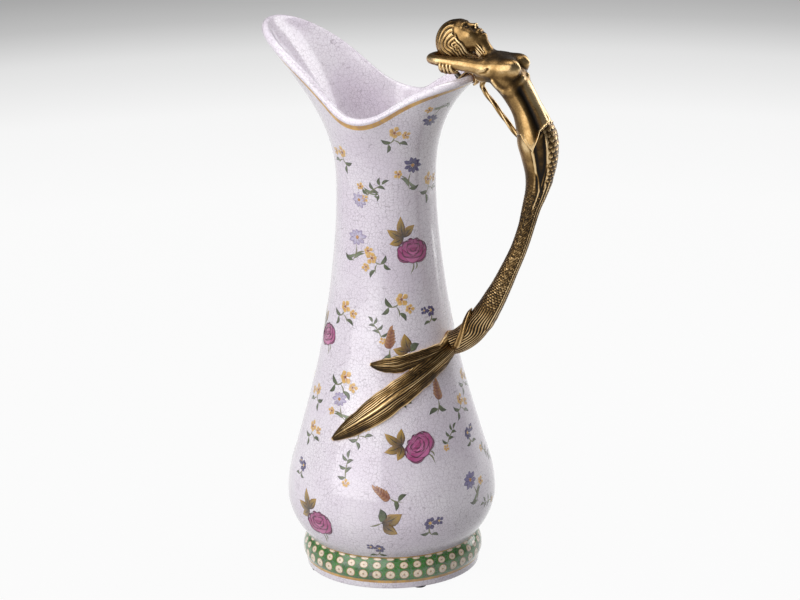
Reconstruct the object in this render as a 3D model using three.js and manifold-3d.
// A tall porcelain jug with a bronze mermaid for a handle, in millimetres, +Z up.
// The turned axis of the jug is the working origin. +X points to the handle and -X to the spout.

import * as THREE from 'three';
import { mergeVertices } from 'three/addons/utils/BufferGeometryUtils.js';
import Module from 'manifold-3d';

const wasm = await Module();
wasm.setup();

// Driving dimensions of the porcelain
const WALL = 4.6;
const ROUND_SIDES = 56;
const MOUTH_STEPS = 7;
const FLOOR_Z = 11;
const RECESS_Z = 5;
const NECK_Z = 250;
const NECK_RADIUS = 30.9;

// Outer profile as radius and height: foot ring, then crease to neck
const FOOT_PROFILE = [[54.4, 0], [55.3, 5], [56.6, 8.8], [55.9, 14.5], [53.1, 19.4]];
const WALL_PROFILE = [
  [53.1, 19.4], [60.7, 30], [64.6, 39.5], [65.7, 48.8], [63.9, 63.5], [58.8, 81.3], [51.8, 106.3],
  [44.7, 134.4], [38.9, 165.6], [34.5, 196.9], [31.8, 225], [NECK_RADIUS, NECK_Z],
];

// Rim crest around the mouth: cosine series in the angle from the handle to the spout
const RIM_RADIUS = [49.2, -7.1, 14.6, -1.6, 5.2, -0.6];
const RIM_HEIGHT = [314.9, -7.8, 17.9, -2.8, 0.8, -0.4];

// Where the wall turns out on its way from the neck to the rim, as shares of that way out and up
const MOUTH_BEND = { side: [0.22, 0.61], back: [0.19, 0.72], spout: [0.39, 0.65] };
const MOUTH_RISE = 0.38;

// Felt pads under the foot ring
const PAD = { radius: 4.2, height: 1.3, circle: 49.9, count: 4, firstAngle: 45 };

// Clearances between pieces that touch on the real object
const GAP = 0.35;
const LINER = 0.8;

// Sides of the figure: the near side is -Y
const NEAR = -1;
const FAR = 1;

// Fixing of the tail: a stud square to the wall
const STUD = { z: 150, radius: 3, holeRadius: 3.6, inside: 11.5, outside: 14 };
const GASKET = { radius: 7.2, height: 1.2 };
const SEAL = { radius: 8, height: 2.6 };
const WASHER = { radius: 7.5, height: 1.4 };
const NUT = { acrossFlats: 10, height: 5 };

// Colours of the materials
const PORCELAIN = material(0xe3dce6, 0.12, 0);
const BRONZE = material(0x8a6a35, 0.34, 1);
const STEEL = material(0x9a978f, 0.4, 1);
const CORK = material(0x9b7448, 0.9, 0);
const RUBBER = material(0x2a2a2c, 0.8, 0);
const FELT = material(0x33302f, 0.95, 0);

function material(color, roughness, metalness) {
  return new THREE.MeshStandardMaterial({ color, roughness, metalness });
}

// Mesh helpers

// Keeps positions only, merges shared corners and drops triangles that have closed up.
function weld(geometry) {
  const bare = new THREE.BufferGeometry();
  bare.setAttribute('position', geometry.getAttribute('position').clone());
  if (geometry.index) bare.setIndex(geometry.index.clone());
  const merged = mergeVertices(bare, 1e-4);
  const corners = merged.index.array;
  const kept = [];
  for (let i = 0; i < corners.length; i += 3) {
    const [a, b, c] = [corners[i], corners[i + 1], corners[i + 2]];
    if (a !== b && b !== c && c !== a) kept.push(a, b, c);
  }
  merged.setIndex(kept);
  return merged;
}

function solid(geometry) {
  const welded = weld(geometry);
  const vertProperties = new Float32Array(welded.getAttribute('position').array);
  const triVerts = new Uint32Array(welded.index.array);
  return new wasm.Manifold(new wasm.Mesh({ numProp: 3, vertProperties, triVerts }));
}

function surface(body) {
  const mesh = body.getMesh();
  const geometry = new THREE.BufferGeometry();
  geometry.setAttribute('position', new THREE.BufferAttribute(mesh.vertProperties, 3));
  geometry.setIndex(new THREE.BufferAttribute(mesh.triVerts, 1));
  return geometry;
}

function piece(name, shape, look) {
  const mesh = new THREE.Mesh(shape, look);
  mesh.name = name;
  return mesh;
}

// Joins rings of equal length into one closed skin with a fan at each end.
function skin(rings) {
  const sides = rings[0].length;
  const positions = [];
  const index = [];
  rings.flat().forEach((p) => positions.push(p.x, p.y, p.z));
  for (let i = 0; i + 1 < rings.length; i += 1) {
    for (let j = 0; j < sides; j += 1) {
      const a = i * sides + j;
      const b = i * sides + ((j + 1) % sides);
      index.push(a, b, a + sides, b, b + sides, a + sides);
    }
  }
  [[rings[0], 0], [rings.at(-1), rings.length - 1]].forEach(([ring, row], end) => {
    const middle = ring.reduce((sum, p) => sum.add(p), new THREE.Vector3()).divideScalar(sides);
    const hub = positions.length / 3;
    positions.push(middle.x, middle.y, middle.z);
    for (let j = 0; j < sides; j += 1) {
      const a = row * sides + j;
      const b = row * sides + ((j + 1) % sides);
      if (end === 0) index.push(hub, b, a);
      else index.push(hub, a, b);
    }
  });
  const geometry = new THREE.BufferGeometry();
  geometry.setAttribute('position', new THREE.Float32BufferAttribute(positions, 3));
  geometry.setIndex(index);
  return geometry;
}

// A closed ellipse ring: half axes u and v about a centre, turning so that the skin faces out.
function ellipseRing(centre, u, v, sides) {
  return Array.from({ length: sides }, (_, j) => {
    const turn = (2 * Math.PI * j) / sides;
    return centre.clone().addScaledVector(u, Math.cos(turn)).addScaledVector(v, Math.sin(turn));
  });
}

// A limb in the plane of the handle. Each station is x, z, half depth in the plane, half width across it.
class Limb {
  constructor(stations) {
    this.path = new THREE.CatmullRomCurve3(
      stations.map(([x, z]) => new THREE.Vector3(x, 0, z)), false, 'centripetal');
    this.halves = new THREE.CatmullRomCurve3(
      stations.map(([, , depth, width]) => new THREE.Vector3(depth, width, 0)), false, 'centripetal');
  }

  // Centre, outward half axis and sideways half axis at t from 0 to 1.
  at(t) {
    const centre = this.path.getPoint(t);
    const along = this.path.getTangent(t);
    const half = this.halves.getPoint(t);
    const out = new THREE.Vector3(-along.z, 0, along.x);
    return { centre, along, out, depth: half.x, width: half.y };
  }

  // A point on the skin: turn 0 is the outer side, 90 degrees the far side, 270 the near side.
  point(t, turn, extra = 0) {
    const { centre, out, depth, width } = this.at(t);
    return centre.addScaledVector(out, (depth + extra) * Math.cos(turn))
      .add(new THREE.Vector3(0, (width + extra) * Math.sin(turn), 0));
  }

  geometry({ steps, sides, from = 0, to = 1, grow = 0 }) {
    const rings = Array.from({ length: steps + 1 }, (_, i) => {
      const { centre, out, depth, width } = this.at(THREE.MathUtils.lerp(from, to, i / steps));
      const across = new THREE.Vector3(0, -width - grow, 0);
      return ellipseRing(centre, out.multiplyScalar(depth + grow), across, sides);
    });
    return skin(rings);
  }
}

// A round limb along points in space, with a radius at each point and rounded ends.
function roundLimb(points, radii, { steps, sides, grow = 0 }) {
  const path = new THREE.CatmullRomCurve3(points, false, 'centripetal');
  const sizes = new THREE.CatmullRomCurve3(radii.map((r) => new THREE.Vector3(r, 0, 0)));
  const frames = path.computeFrenetFrames(steps, false);
  const rings = frames.tangents.map((_, i) => {
    const t = i / steps;
    const r = sizes.getPoint(t).x + grow;
    const u = frames.normals[i].clone().multiplyScalar(r);
    const v = frames.binormals[i].clone().multiplyScalar(r);
    return ellipseRing(path.getPointAt(t), u, v, sides);
  });
  return skin(rings);
}

// Porcelain wall

function series(terms, angle) {
  return terms.reduce((sum, term, k) => sum + term * Math.cos(k * angle), 0);
}

function splinePoints(profile, count) {
  const curve = new THREE.SplineCurve(profile.map(([r, z]) => new THREE.Vector2(r, z)));
  return curve.getPoints(count);
}

const footLine = splinePoints(FOOT_PROFILE, 6);
const wallLine = splinePoints(WALL_PROFILE, 13);

function rimCrest(angle) {
  return new THREE.Vector2(series(RIM_RADIUS, angle), series(RIM_HEIGHT, angle));
}

// The bend under the rim at an angle round the axis: blends from the back lip over the sides to the spout.
function mouthBend(angle) {
  const lean = Math.cos(angle);
  const end = lean > 0 ? MOUTH_BEND.back : MOUTH_BEND.spout;
  const [out, up] = MOUTH_BEND.side.map((share, i) => THREE.MathUtils.lerp(share, end[i], lean * lean));
  const crest = rimCrest(angle);
  return new THREE.Vector2(
    THREE.MathUtils.lerp(NECK_RADIUS, crest.x, out), THREE.MathUtils.lerp(NECK_Z, crest.y, up));
}

// Slope of the wall at the rim.
const flareAt = (angle) => rimCrest(angle).sub(mouthBend(angle)).angle();

// Outer line of the mouth from the neck to the outer edge of the lip.
function mouthLine(angle) {
  const flare = flareAt(angle);
  const outward = new THREE.Vector2(Math.sin(flare), -Math.cos(flare)).multiplyScalar(WALL / 2);
  const neck = new THREE.Vector2(NECK_RADIUS, NECK_Z);
  const lip = rimCrest(angle).add(outward);
  const rise = MOUTH_RISE * lip.distanceTo(neck);
  const curve = new THREE.CubicBezierCurve(
    neck, new THREE.Vector2(NECK_RADIUS, NECK_Z + rise), mouthBend(angle).add(outward), lip);
  return curve.getPoints(MOUTH_STEPS).slice(1);
}

// Moves each point of a line square to it; positive is outward.
function offsetLine(line, distance) {
  return line.map((p, i) => {
    const before = line[Math.max(i - 1, 0)];
    const after = line[Math.min(i + 1, line.length - 1)];
    const along = after.clone().sub(before).normalize();
    return p.clone().add(new THREE.Vector2(along.y, -along.x).multiplyScalar(distance));
  });
}

function lipArc(angle, radius, count) {
  const flare = flareAt(angle);
  const crest = rimCrest(angle);
  return Array.from({ length: count }, (_, i) => {
    const turn = flare - Math.PI / 2 + (Math.PI * (i + 1)) / (count + 1);
    return new THREE.Vector2(Math.cos(turn), Math.sin(turn)).multiplyScalar(radius).add(crest);
  });
}

// Sections of the jug as outlines that start and end on the axis.
function wallSection(angle, grow) {
  const outer = [...wallLine, ...mouthLine(angle)];
  const foot = footLine.slice(0, -1);
  const under = [[0, RECESS_Z], [46, RECESS_Z], [48, 0]].map(([r, z]) => new THREE.Vector2(r, z));
  const floor = [[44, FLOOR_Z + 1], [36, FLOOR_Z], [0, FLOOR_Z]].map(([r, z]) => new THREE.Vector2(r, z));
  return [
    ...under, ...offsetLine([...foot, ...outer], grow), ...lipArc(angle, WALL / 2 + grow, 3),
    ...offsetLine(outer, -WALL - grow).reverse(), ...floor,
  ];
}

function cavitySection(angle, shrink) {
  const inner = offsetLine([...wallLine, ...mouthLine(angle)], -WALL - shrink);
  return [new THREE.Vector2(0, FLOOR_Z), ...inner, new THREE.Vector2(0, inner.at(-1).y)];
}

function outsideSection(angle, grow) {
  const outer = offsetLine([...wallLine, ...mouthLine(angle)], grow);
  return [new THREE.Vector2(0, outer[0].y), ...outer, new THREE.Vector2(0, outer.at(-1).y)];
}

// Turns a section that changes with the angle: a lathe gives the grid, each column its own section.
function turned(sectionAt) {
  const lathe = new THREE.LatheGeometry(sectionAt(0), ROUND_SIDES);
  const place = lathe.getAttribute('position');
  const rows = sectionAt(0).length;
  for (let column = 0; column <= ROUND_SIDES; column += 1) {
    const angle = (2 * Math.PI * (column % ROUND_SIDES)) / ROUND_SIDES;
    sectionAt(angle).forEach((p, row) => {
      place.setXYZ(column * rows + row, p.x * Math.cos(angle), p.x * Math.sin(angle), p.y);
    });
  }
  return lathe;
}

const wallSolid = (grow = 0) => solid(turned((angle) => wallSection(angle, grow)));
const outsideSolid = (grow) => solid(turned((angle) => outsideSection(angle, grow)));
const cavitySolid = (shrink) => solid(turned((angle) => cavitySection(angle, shrink)));

// Outer radius of the wall at a height below the neck, with the slope of the wall there.
function wallAt(z) {
  const i = Math.max(1, wallLine.findIndex((p, k) => k > 0 && p.y >= z));
  const [low, high] = [wallLine[i - 1], wallLine[i]];
  const radius = THREE.MathUtils.mapLinear(z, low.y, high.y, low.x, high.x);
  return { radius, slope: (high.x - low.x) / (high.y - low.y) };
}

// Stud line: from the axis side out through the wall, square to it
const studWall = wallAt(STUD.z);
const studAxis = new THREE.Vector3(1, 0, -studWall.slope).normalize();
const studFoot = new THREE.Vector3(studWall.radius, 0, STUD.z);

// A round or six-sided bar on the stud line, from one distance to another, measured outward from the wall.
function onStud(radius, from, to, sides = 24) {
  const bar = new THREE.CylinderGeometry(radius, radius, to - from, sides);
  bar.applyQuaternion(new THREE.Quaternion().setFromUnitVectors(new THREE.Vector3(0, 1, 0), studAxis));
  const middle = studFoot.clone().addScaledVector(studAxis, (from + to) / 2);
  return bar.translate(middle.x, middle.y, middle.z);
}

function porcelainBody() {
  return wallSolid().subtract(solid(onStud(STUD.holeRadius, -3 * WALL, 2 * WALL)));
}

// Bronze figure. Its upper half is placed from the back lip, and the end of the tail from the stud.
const LIP = rimCrest(0);
const fromLip = (x, z) => [LIP.x + x, LIP.y + z];
const fromStud = (x, z) => [studFoot.x + x, studFoot.z + z];
const alongStud = (reach) => fromStud(reach * studAxis.x, reach * studAxis.z);

// Stations of the spine from the neck over the hips to the wall: place, half depth, half width
const TORSO_STATIONS = [
  [...fromLip(6.7, 22.9), 4.2, 4.6], [...fromLip(10.7, 15.9), 5.6, 6.4],
  [...fromLip(16.2, 9.9), 9, 13.4], [...fromLip(22.7, 4.4), 11, 13],
  [...fromLip(29.2, -4.1), 10, 11.2], [...fromLip(35.2, -14.1), 9.6, 10.4],
  [...fromLip(40, -24.6), 11, 12],
];
const TAIL_STATIONS = [
  [...fromLip(42.8, -35.1), 12.8, 13.6], [...fromLip(44.2, -46.6), 11.4, 12],
  [...fromLip(43.8, -57.6), 9, 9.6], [...fromLip(41.8, -67.6), 7.1, 7.8],
  [...fromLip(38.6, -77.6), 5.8, 6.6], [...fromLip(34.4, -92.6), 5.1, 6],
  [...fromStud(47.7, 66), 5.2, 6.2], [...fromStud(41.3, 52), 5.7, 6.6],
  [...fromStud(35.3, 39.5), 6.5, 7.2], [...fromStud(28.9, 28), 7.6, 8.2],
  [...fromStud(21.9, 17), 8.4, 8.8], [...fromStud(14.3, 7.5), 8.4, 8.8],
  [...alongStud(5), 8, 8.4], [...alongStud(-3.8), 7.8, 8.2],
];
const SPINE = new Limb([...TORSO_STATIONS, ...TAIL_STATIONS]);

// Place on the spine of a station, counted from the hips, and of the brazed joint there
const SPINE_STEPS = TORSO_STATIONS.length + TAIL_STATIONS.length - 1;
const fromHips = (station) => (TORSO_STATIONS.length + station) / SPINE_STEPS;
const hipJoint = GAP / 2 / SPINE.path.getPoint(fromHips(0)).distanceTo(SPINE.path.getPoint(fromHips(1)));

// Lumps of the figure: place from the lip, half axes, tilt towards the mouth in radians
const BUST = { at: fromLip(28.2, 10.3), side: 6.4, halfAxes: [6.2, 5.8, 6.4], tilt: 0.6 };
const SHOULDER = { at: fromLip(10.2, 8.9), side: 10.6, halfAxes: [5, 5, 5], tilt: 0 };
const SKULL = { at: fromLip(-7.3, 24.1), side: 0, halfAxes: [11.8, 9.2, 9.6], tilt: 0.3 };
const HAIR = { at: fromLip(-12.3, 22.7), side: 0, halfAxes: [10.6, 9.8, 8.6], tilt: 0.45 };
const FACE = { at: fromLip(1.2, 27.6), side: 0, halfAxes: [8.8, 6.8, 5.8], tilt: 0.34 };
const NOSE = { at: fromLip(-0.4, 33.5), side: 0, halfAxes: [2, 1.2, 2.6], tilt: 0.2 };
const LUMP_SIDES = 16;

function lump({ at, side, halfAxes, tilt }, mirror, grow) {
  const ball = new THREE.SphereGeometry(1, LUMP_SIDES, Math.round(LUMP_SIDES * 0.6));
  ball.scale(...halfAxes.map((size) => size + grow));
  ball.rotateY(tilt);
  return solid(ball.translate(at[0], mirror * side, at[1]));
}

const joined = (solids) => solids.reduce((body, other) => body.add(other));

function torsoSolid(grow = 0) {
  const lumps = [NEAR, FAR].flatMap((side) => [lump(BUST, side, grow), lump(SHOULDER, side, grow)]);
  return joined([solid(SPINE.geometry({ steps: 17, sides: 20, grow, to: fromHips(-hipJoint) })), ...lumps]);
}

const headSolid = (grow = 0) => joined([SKULL, HAIR, FACE, NOSE].map((part) => lump(part, FAR, grow)));

// Arms: shoulder, elbow over the mouth, forearm behind the head, hand on the other arm.
// Each point is x and z from the lip and the distance out to the arm's own side.
const ARM_RADII = [3.4, 3.3, 3.2, 3.2, 2.9, 2.6, 2.2];
const UPPER_ARM = [[8.2, 9.9, 11], [-3.8, 11.4, 11.6], [-14.8, 11.8, 11.8]];
const NEAR_FOREARM = [[-23.1, 12, 10], [-22.2, 12.2, 3], [-18.8, 12.2, -3.6], [-16.1, 12.2, -6.4]];
const FAR_FOREARM = [[-23.1, 9.7, 10.4], [-22, 6.7, 3.4], [-17.5, 5.7, -4], [-12.9, 5.4, -10]];

function armSolid(side, forearm, grow = 0) {
  const points = [...UPPER_ARM, ...forearm].map(([x, z, out]) => {
    return new THREE.Vector3(LIP.x + x, side * out, LIP.y + z);
  });
  return solid(roundLimb(points, ARM_RADII, { steps: 20, sides: 10, grow }));
}

// Hair tress: a thin rod from the upper back to the hip
const TRESS_POINTS = [
  [12.8, 3], [7.6, -1.1], [6.5, -5], [8.8, -9], [14.7, -15.8], [21.2, -23.8], [26.6, -30.7], [31.3, -35.5],
];
const TRESS_RADIUS = 1.35;

function hairTress() {
  const points = TRESS_POINTS.map(([x, z]) => new THREE.Vector3(LIP.x + x, 0, LIP.y + z));
  const radii = points.map(() => TRESS_RADIUS);
  return solid(roundLimb(points, radii, { steps: 16, sides: 8 }));
}

function tailSolid(grow = 0) {
  return solid(SPINE.geometry({ steps: 34, sides: 20, grow, from: fromHips(hipJoint) }));
}

// Fold: a strip that winds from the inner side of the tail to its near side, down to the flukes.
// It starts and ends at stations counted from the hips.
const FOLD = { from: 9.65, to: 11.9, startTurn: 196, endTurn: 290, radius: 1.3, points: 7 };

function foldSolid(grow = 0) {
  const points = Array.from({ length: FOLD.points }, (_, i) => {
    const share = i / (FOLD.points - 1);
    const turn = THREE.MathUtils.degToRad(THREE.MathUtils.lerp(FOLD.startTurn, FOLD.endTurn, share));
    return SPINE.point(fromHips(THREE.MathUtils.lerp(FOLD.from, FOLD.to, share)), turn, FOLD.radius + GAP);
  });
  const radii = points.map(() => FOLD.radius);
  return solid(roundLimb(points, radii, { steps: 14, sides: 8, grow }));
}

// Flukes: leaves laid on the wall. Each station is angle round the axis, height from the stud, half width.
const LARGE_FLUKE = {
  line: [[-8, -4, 6], [-24, -9, 6.3], [-36, -13.4, 6.8], [-48, -18.8, 7.6], [-60.5, -25, 8.3],
    [-75, -34, 7.8], [-90.5, -44.4, 5.4], [-98, -49.5, 3.2], [-105, -54.7, 0.6]],
  rise: 4.2, steps: 20,
};
const SMALL_FLUKE = {
  line: [[-14, 3.6, 1.7], [-24, 1.6, 1.9], [-34, -0.6, 2.5], [-46, -3.2, 3.9], [-58.5, -5.8, 5],
    [-70.6, -6.2, 3.3], [-80.3, -5.8, 0.6]],
  rise: 3, steps: 15,
};
const FLUKE_ACROSS = 6;
const FLUKE_LIFT = 0.5;
const FLUKE_EDGE = 0.9;

// A point over the wall at an angle and height, raised square to the wall.
function overWall(angle, z, raise) {
  const { radius, slope } = wallAt(z);
  const lean = Math.hypot(1, slope);
  const r = radius + raise / lean;
  return new THREE.Vector3(r * Math.cos(angle), r * Math.sin(angle), z - (raise * slope) / lean);
}

function flukeSolid({ line, rise, steps }) {
  const path = new THREE.CatmullRomCurve3(
    line.map(([turn, z, half]) => new THREE.Vector3(THREE.MathUtils.degToRad(turn), STUD.z + z, half)),
    false, 'centripetal');
  const rings = Array.from({ length: steps + 1 }, (_, i) => {
    const t = i / steps;
    const { x: angle, y: z, z: half } = path.getPoint(t);
    const tangent = path.getTangent(t);
    const radius = wallAt(z).radius;
    const along = new THREE.Vector2(tangent.x * radius, tangent.y).normalize();
    const height = rise * Math.min(1, 0.35 + half / 8);
    const across = (share, raise) => {
      const move = share * half;
      return overWall(angle - (along.y * move) / radius, z + along.x * move, raise);
    };
    const top = [];
    const bottom = [];
    for (let k = 0; k <= FLUKE_ACROSS; k += 1) {
      const share = 1 - (2 * k) / FLUKE_ACROSS;
      const crown = FLUKE_EDGE + (height - FLUKE_EDGE) * (1 - share * share);
      top.push(across(share, FLUKE_LIFT + crown));
      bottom.unshift(across(share, FLUKE_LIFT));
    }
    return [...top, ...bottom];
  });
  return solid(skin(rings));
}

// Rim clamp and its fixings, at the back lip: legs are measured from the crest, outside and inside
const CLAMP = { wall: 1.4, halfWidth: 4.5, outside: 0.5, inside: 13 };
const CLAMP_LUG = { points: [[0, 3.6], [7, 6.6], [15.6, 9.6]], radius: 2.2 };
const CLAMP_SCREW = { radius: 2, length: 4.4, below: 7 };

const linerTop = GAP + LINER;
const clampFrom = linerTop + GAP;
const clampTo = clampFrom + CLAMP.wall;

// Directions at the back lip: along the wall towards the crest, and square to it outward
const lipFlare = flareAt(0);
const lipAlong = new THREE.Vector3(Math.cos(lipFlare), 0, Math.sin(lipFlare));
const lipOut = new THREE.Vector3(lipAlong.z, 0, -lipAlong.x);
const lipPoint = (along, out) => new THREE.Vector3(LIP.x, 0, LIP.y)
  .addScaledVector(lipAlong, along).addScaledVector(lipOut, out);

// A block around the lip, set along the wall, that trims a shell to the clamp's legs.
function lipBlock(halfWidth) {
  const spread = 4 * clampTo;
  const outer = new THREE.BoxGeometry(CLAMP.outside + spread, 2 * halfWidth, spread);
  const inner = new THREE.BoxGeometry(CLAMP.inside + spread, 2 * halfWidth, spread);
  const blocks = [[outer, CLAMP.outside, (spread - WALL) / 2], [inner, CLAMP.inside, -spread / 2]];
  return joined(blocks.map(([block, leg, out]) => {
    block.rotateY(-lipFlare);
    const middle = lipPoint((spread - leg) / 2, out);
    return solid(block.translate(middle.x, middle.y, middle.z));
  }));
}

// A bar square to the inner side of the lip, between two distances from the wall's middle.
function screwBar(radius, from, to) {
  const bar = new THREE.CylinderGeometry(radius, radius, to - from, 16);
  bar.applyQuaternion(new THREE.Quaternion().setFromUnitVectors(new THREE.Vector3(0, 1, 0), lipOut));
  const middle = lipPoint(-CLAMP_SCREW.below, -(from + to) / 2);
  return solid(bar.translate(middle.x, middle.y, middle.z));
}

function clampLug() {
  const points = CLAMP_LUG.points.map(([x, z]) => new THREE.Vector3(LIP.x + x, 0, LIP.y + z));
  return solid(roundLimb(points, points.map(() => CLAMP_LUG.radius), { steps: 6, sides: 10 }));
}

function rimClamp() {
  const claw = wallSolid(clampTo).intersect(lipBlock(CLAMP.halfWidth));
  const hole = screwBar(CLAMP_SCREW.radius + GAP, 0, WALL + 2 * CLAMP_SCREW.length);
  return claw.add(clampLug()).subtract(wallSolid(clampFrom)).subtract(hole);
}

function rimClampLiner() {
  const shell = wallSolid(linerTop).subtract(wallSolid(GAP));
  return shell.intersect(lipBlock(CLAMP.halfWidth));
}

function rimClampScrew() {
  const start = WALL / 2 + clampFrom;
  return screwBar(CLAMP_SCREW.radius, start, start + CLAMP_SCREW.length);
}

// Fixing of the tail
const sealFrom = -WALL - GAP;
const sealTo = sealFrom - SEAL.height;
const washerTo = sealTo - GAP - WASHER.height;
const nutTo = washerTo - GAP - NUT.height;

const studBore = () => solid(onStud(STUD.radius + GAP, -4 * STUD.inside, STUD.outside + GAP));

function tailGasket() {
  const disc = solid(onStud(GASKET.radius, -WALL, 2 * WALL));
  const layer = outsideSolid(GAP + GASKET.height).subtract(outsideSolid(GAP));
  return disc.intersect(layer).subtract(studBore());
}

function tailSeal() {
  const disc = solid(onStud(SEAL.radius, sealTo, 0));
  return disc.intersect(cavitySolid(GAP)).subtract(studBore());
}

const tailWasher = () => solid(onStud(WASHER.radius, washerTo, sealTo - GAP)).subtract(studBore());

function tailNut() {
  const corner = NUT.acrossFlats / Math.sqrt(3);
  return solid(onStud(corner, nutTo, washerTo - GAP, 6)).subtract(studBore());
}

const tailStud = () => solid(onStud(STUD.radius, nutTo - 1.5, STUD.outside));

// Felt pads
function feltPad(index) {
  const angle = THREE.MathUtils.degToRad(PAD.firstAngle + (360 * index) / PAD.count);
  const disc = new THREE.CylinderGeometry(PAD.radius, PAD.radius, PAD.height, 20);
  disc.rotateX(Math.PI / 2);
  return disc.translate(PAD.circle * Math.cos(angle), PAD.circle * Math.sin(angle), -PAD.height / 2);
}

// Assembly: each casting is trimmed to leave a gap to the one that it is brazed to
const head = headSolid();
const headRoom = headSolid(GAP);
const torsoRoom = torsoSolid(GAP);
const tailRoom = tailSolid(GAP);
const nearArmRoom = armSolid(NEAR, NEAR_FOREARM, GAP);
const torso = torsoSolid().subtract(headRoom);
const tail = tailSolid().subtract(outsideSolid(GASKET.height + 2 * GAP)).subtract(studBore());
const nearArm = armSolid(NEAR, NEAR_FOREARM).subtract(torsoRoom).subtract(headRoom);
const farArm = armSolid(FAR, FAR_FOREARM).subtract(torsoRoom).subtract(headRoom).subtract(nearArmRoom);
const tress = hairTress().subtract(torsoRoom).subtract(tailRoom);
const clamp = rimClamp().subtract(torsoRoom);
const smallFluke = flukeSolid(SMALL_FLUKE).subtract(tailRoom).subtract(foldSolid(GAP));
const largeFluke = flukeSolid(LARGE_FLUKE).subtract(tailRoom).subtract(foldSolid(GAP));

const jug = new THREE.Group();
jug.add(
  piece('porcelain_body', surface(porcelainBody()), PORCELAIN),
  piece('mermaid_torso', surface(torso), BRONZE),
  piece('mermaid_head', surface(head), BRONZE),
  piece('mermaid_near_arm', surface(nearArm), BRONZE),
  piece('mermaid_far_arm', surface(farArm), BRONZE),
  piece('hair_tress', surface(tress), BRONZE),
  piece('mermaid_tail', surface(tail), BRONZE),
  piece('fluke_fold', surface(foldSolid()), BRONZE),
  piece('large_fluke', surface(largeFluke), BRONZE),
  piece('small_fluke', surface(smallFluke), BRONZE),
  piece('rim_clamp', surface(clamp), BRONZE),
  piece('rim_clamp_liner', surface(rimClampLiner()), CORK),
  piece('rim_clamp_screw', surface(rimClampScrew()), STEEL),
  piece('tail_stud', surface(tailStud()), STEEL),
  piece('tail_gasket', surface(tailGasket()), CORK),
  piece('tail_seal', surface(tailSeal()), RUBBER),
  piece('tail_washer', surface(tailWasher()), STEEL),
  piece('tail_nut', surface(tailNut()), STEEL),
);
for (let index = 0; index < PAD.count; index += 1) {
  jug.add(piece(`felt_pad_${index + 1}`, weld(feltPad(index)), FELT));
}

// The part's origin is the middle of its footprint box, on the floor
const box = new THREE.Box3().setFromObject(jug);
const middle = box.getCenter(new THREE.Vector3());
jug.position.set(-middle.x, -middle.y, -box.min.z);

const part = new THREE.Group();
part.add(jug);

export default part;
